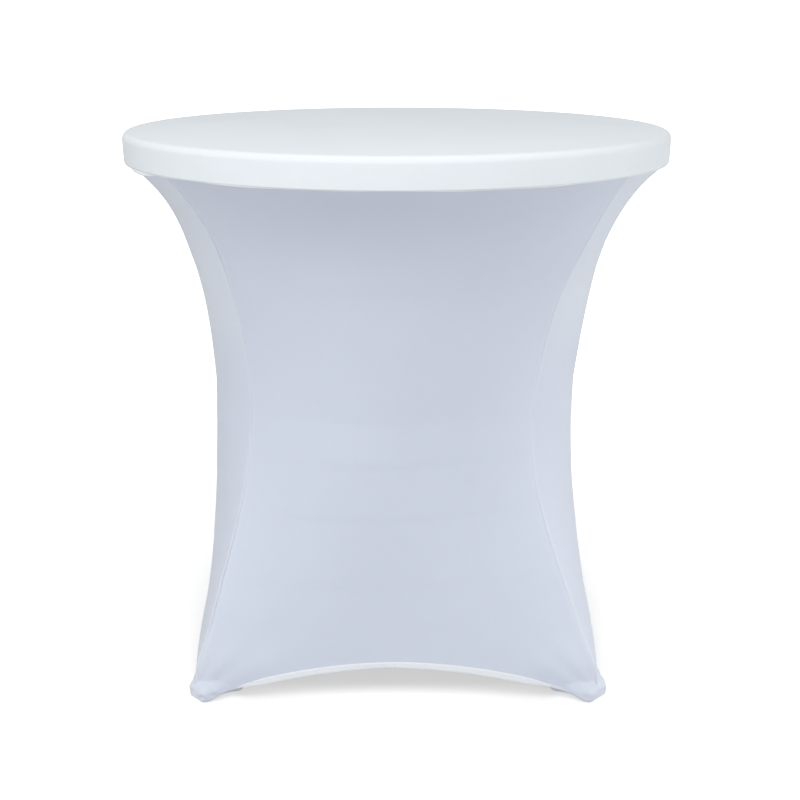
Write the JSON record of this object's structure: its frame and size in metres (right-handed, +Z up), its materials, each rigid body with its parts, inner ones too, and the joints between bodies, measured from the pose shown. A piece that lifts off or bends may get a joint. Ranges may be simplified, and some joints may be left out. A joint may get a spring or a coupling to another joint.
{
  "type": "fitted tablecloth on a round table",
  "caption": "White stretch tablecloth fitted over a round cafe table: flat cap, waisted skirt with corner seams, arched hems and pockets round the feet.",
  "frame": {"origin": "floor level, on the vertical axis of the round table top", "axes": "+Z up, -Y out of the front panel of the skirt, +X towards the right-hand panel"},
  "size_m": [0.75, 0.75, 0.74],
  "materials": {
    "cloth": "smooth white stretch knit with a faint sheen",
    "seam": "white overlocked and bound seam",
    "board": "plywood, sanded",
    "edge": "black moulded edge",
    "iron": "black powder coat on cast iron and steel",
    "steel": "zinc plated",
    "glide": "black moulded plastic"
  },
  "bodies": {
    "table": {"table_board": "board", "edge_band": "edge", "top_spider": "iron", "column_tube": "iron", "centring_disc_upper": "iron", "centring_disc_lower": "iron", "base_bar_lower": "iron", "base_bar_upper": "iron", "top_screw_front_right": "steel", "top_screw_back_right": "steel", "top_screw_back_left": "steel", "top_screw_front_left": "steel", "tie_rod": "steel", "tie_nut_lower": "steel", "tie_washer_lower": "steel", "tie_nut_upper": "steel", "tie_washer_upper": "steel"},
    "cover": {"cover_top_cap": "cloth", "skirt_panel_front": "cloth", "skirt_panel_right": "cloth", "skirt_panel_back": "cloth", "skirt_panel_left": "cloth", "foot_pocket_front_right": "cloth", "foot_pocket_back_right": "cloth", "foot_pocket_back_left": "cloth", "foot_pocket_front_left": "cloth", "rim_seam": "seam", "hem_front": "seam", "hem_right": "seam", "hem_back": "seam", "hem_left": "seam", "corner_seam_front_right": "seam", "corner_seam_back_right": "seam", "corner_seam_back_left": "seam", "corner_seam_front_left": "seam"},
    "glide_front_right": {"glide_pad_front_right": "glide", "glide_stem_front_right": "steel"},
    "glide_back_right": {"glide_pad_back_right": "glide", "glide_stem_back_right": "steel"},
    "glide_back_left": {"glide_pad_back_left": "glide", "glide_stem_back_left": "steel"},
    "glide_front_left": {"glide_pad_front_left": "glide", "glide_stem_front_left": "steel"}
  },
  "joints": [
    {"name": "cover_lift", "type": "slide", "parent": "table", "child": "cover", "axis": [0, 0, 1], "range_m": [0, 0.76], "deforming": ["skirt_panel_front", "skirt_panel_right", "skirt_panel_back", "skirt_panel_left", "hem_front", "hem_right", "hem_back", "hem_left", "corner_seam_front_right", "corner_seam_back_right", "corner_seam_back_left", "corner_seam_front_left", "foot_pocket_front_right", "foot_pocket_back_right", "foot_pocket_back_left", "foot_pocket_front_left"]},
    {"name": "glide_front_right_level", "type": "slide", "parent": "table", "child": "glide_front_right", "axis": [0, 0, 1], "range_m": [0, 0.003]},
    {"name": "glide_back_right_level", "type": "slide", "parent": "table", "child": "glide_back_right", "axis": [0, 0, 1], "range_m": [0, 0.003]},
    {"name": "glide_back_left_level", "type": "slide", "parent": "table", "child": "glide_back_left", "axis": [0, 0, 1], "range_m": [0, 0.003]},
    {"name": "glide_front_left_level", "type": "slide", "parent": "table", "child": "glide_front_left", "axis": [0, 0, 1], "range_m": [0, 0.003]}
  ]
}
